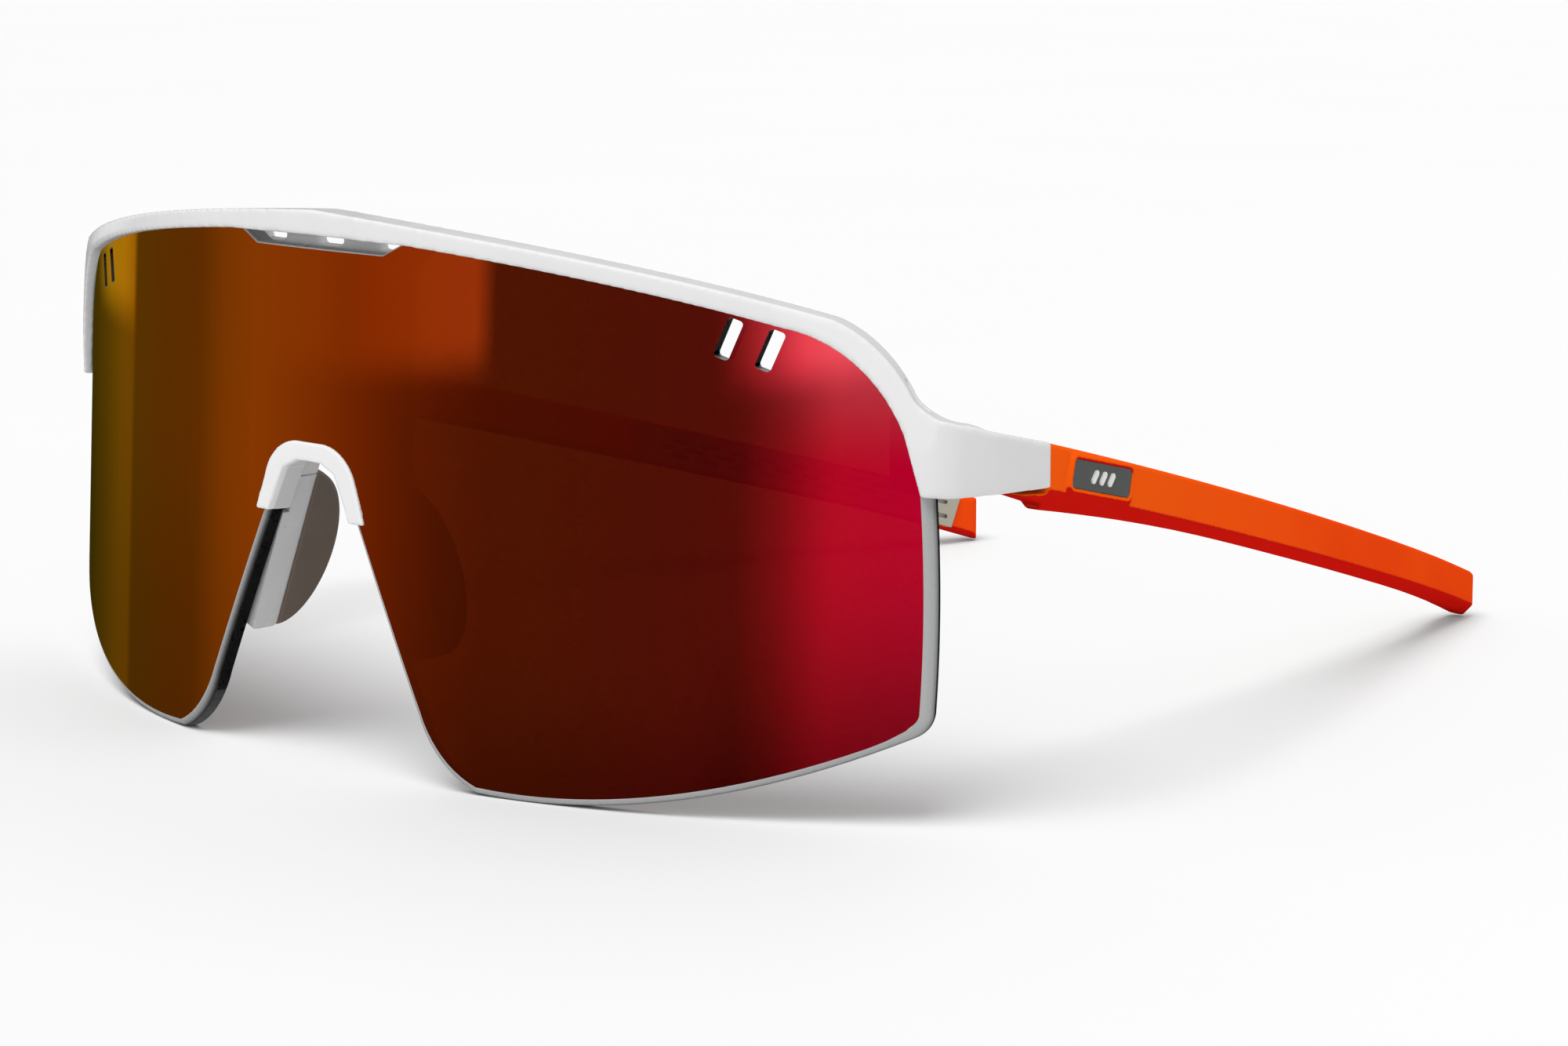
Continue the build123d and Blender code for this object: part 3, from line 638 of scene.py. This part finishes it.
def softened(node, name, voxel, rounds, material):
    """A copy of a CAD node with rounded edges, as a moulding has.

    The two white pieces beside the lens are kept out of its mirror.
    """
    source = nodes[node]
    mesh = source.data.copy()
    piece = bpy.data.objects.new(name, mesh)
    scene.collection.objects.link(piece)
    remesh = piece.modifiers.new("skin", "REMESH")
    remesh.mode = "VOXEL"
    remesh.voxel_size = voxel * MM
    remesh.use_smooth_shade = True
    smooth = piece.modifiers.new("round", "SMOOTH")
    smooth.factor = 0.5
    smooth.iterations = rounds
    graph = bpy.context.evaluated_depsgraph_get()
    solid = bpy.data.meshes.new_from_object(piece.evaluated_get(graph))
    piece.modifiers.clear()
    piece.data = solid
    solid.name = name
    solid.polygons.foreach_set("use_smooth", [True] * len(solid.polygons))
    solid.materials.clear()
    solid.materials.append(material)
    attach(piece, source["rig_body"])
    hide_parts(node)
    piece.visible_glossy = node not in ("brow_frame", "nose_bridge")


softened("brow_frame", "brow_shell", 0.22, 8, white)
softened("nose_bridge", "nose_clip", 0.16, 6, bridge_white)
for side in ("left", "right"):
    softened(f"temple_{side}", f"temple_shell_{side}", 0.2, 4, orange)
    softened(f"nose_pad_{side}", f"nose_cushion_{side}", 0.16, 6, taupe)
    for node, material in (
        ("nose_arm", grey),
        ("temple_grip", grip),
        ("temple_badge", plate),
        ("badge_mark", mark),
        ("hinge_eye", steel),
        ("hinge_leaf", steel),
        ("hinge_screw", screw),
        ("nose_wire", core),
        ("temple_core", core),
    ):
        target = nodes[f"{node}_{side}"]
        for material_slot in target.material_slots:
            material_slot.link = "OBJECT"
            material_slot.material = material


# ---------------------------------------------------------------- stage

def studio():
    """White for the camera, even light for matt surfaces, soft boxes with dark gaps for gloss.

    The boxes are laid out by their turn from -Y towards +X, in degrees.
    """
    scene.world = bpy.data.worlds.new("studio")
    scene.world.use_nodes = True
    s = Shader("studio", scene.world.node_tree)
    ray = s.add("ShaderNodeTexCoord").outputs["Generated"]
    east, north, rise = s.parts(ray)
    turn = s.math("ARCTAN2", east, s.math("MULTIPLY", north, -1.0))
    share = s.mapped(turn, -pi, pi, smooth=False)

    def at(degrees):
        return (degrees + 180) / 360

    walls = s.ramp(
        share,
        [
            (at(-180), 0.55), (at(-135), 0.50), (at(-127), 0.10), (at(-117), 0.11), (at(-107), 0.17),
            (at(-98), 0.27), (at(-94), 0.28), (at(-93.2), 0.17), (at(-76), 0.18), (at(-73), 0.19),
            (at(-67), 0.31), (at(-60), 0.39), (at(-49), 0.33), (at(-36), 0.20), (at(-29), 0.13),
            (at(-22), 0.095), (at(-10), 0.095), (at(6), 0.105), (at(11), 0.125), (at(16), 0.31),
            (at(22), 0.74), (at(34), 0.78), (at(48), 0.6), (at(62), 0.40), (at(90), 0.60),
            (at(135), 0.75), (at(180), 0.55),
        ],
    ).outputs[0]
    boxes = s.ramp(
        share,
        [
            (at(-116), 0.0), (at(-106), 0.5), (at(-98), 0.45), (at(-94), 0.28), (at(-93.2), 0.0),
            (at(-60), 0.0), (at(-44), 0.10), (at(-30), 0.36), (at(-22.8), 0.42), (at(-22.2), 0.0),
            (at(8), 0.0), (at(18), 0.9), (at(24), 0.7), (at(36), 0.2),
        ],
    ).outputs[0]
    tilt = s.math("MULTIPLY", s.math("MINIMUM", s.math("ADD", turn, 0.38), 0.0), 0.036)
    upper = s.mapped(s.math("SUBTRACT", rise, tilt), -0.050, -0.037)
    low = s.mapped(rise, -0.15, -0.08, 0.25, 1.0)
    beside = s.mapped(turn, radians(4), radians(14))
    shade = s.mix(beside, s.mapped(rise, -0.17, -0.09, 0.75, 1.0), low)
    walls = s.mix(1.0, walls, shade, "MULTIPLY")
    patch = s.mix(1.0, walls, s.mix(1.0, boxes, upper, "MULTIPLY"), "ADD")
    ceiling = s.mapped(rise, 0.25, 0.7)
    gloss = s.mix(ceiling, patch, (0.95, 0.95, 0.95))
    path = s.add("ShaderNodeLightPath")
    plain = s.mix(path.outputs["Is Camera Ray"], (0.55, 0.55, 0.55), (1.0, 1.0, 1.0))
    light = s.mix(path.outputs["Is Glossy Ray"], plain, gloss)
    s.finish(s.add("ShaderNodeBackground", {"Color": light}), "ShaderNodeOutputWorld")


def towards(turn, rise):
    """The direction of a turn from -Y towards +X and a rise, in degrees."""
    turn, rise = radians(turn), radians(rise)
    return Vector((sin(turn) * cos(rise), -cos(turn) * cos(rise), sin(rise)))


def sun(name, turn, rise, spread, strength):
    """Soft light from one side of the sky, the same everywhere on the floor."""
    light = bpy.data.lights.new(name, "SUN")
    light.angle = radians(spread)
    light.energy = strength
    lamp = bpy.data.objects.new(name, light)
    scene.collection.objects.link(lamp)
    lamp.rotation_euler = (-towards(turn, rise)).to_track_quat("-Z", "Y").to_euler()
    lamp.visible_glossy = False


def stage_floor():
    mesh = bpy.data.meshes.new("floor")
    half = FLOOR_HALF
    corners = [(-half, -half, 0), (half, -half, 0), (half, half, 0), (-half, half, 0)]
    mesh.from_pydata(corners, [], [(0, 1, 2, 3)])
    s = Shader("floor")
    tone = s.mix(s.noise(9, 2.0).outputs[0], (0.93, 0.93, 0.93), (0.95, 0.95, 0.95))
    mesh.materials.append(
        s.finish(s.add("ShaderNodeBsdfPrincipled", {"Base Color": tone, "Roughness": 0.7}))
    )
    floor = bpy.data.objects.new("floor", mesh)
    scene.collection.objects.link(floor)
    floor.visible_glossy = False


studio()
stage_floor()
sun("key", 10, 66, 40, 1.8)

back = towards(CAMERA_TURN, CAMERA_RISE)
camera_data = bpy.data.cameras.new("camera")
camera_data.lens = CAMERA_LENS
camera_data.sensor_width = SENSOR_WIDTH
camera_data.clip_start = 0.01
camera_data.clip_end = 100.0
camera = bpy.data.objects.new("camera", camera_data)
camera.location = (Vector(TARGET) + back * CAMERA_DISTANCE) * MM
camera.rotation_euler = (-back).to_track_quat("-Z", "Y").to_euler()
scene.collection.objects.link(camera)
scene.camera = camera
scene.view_settings.view_transform = "Standard"
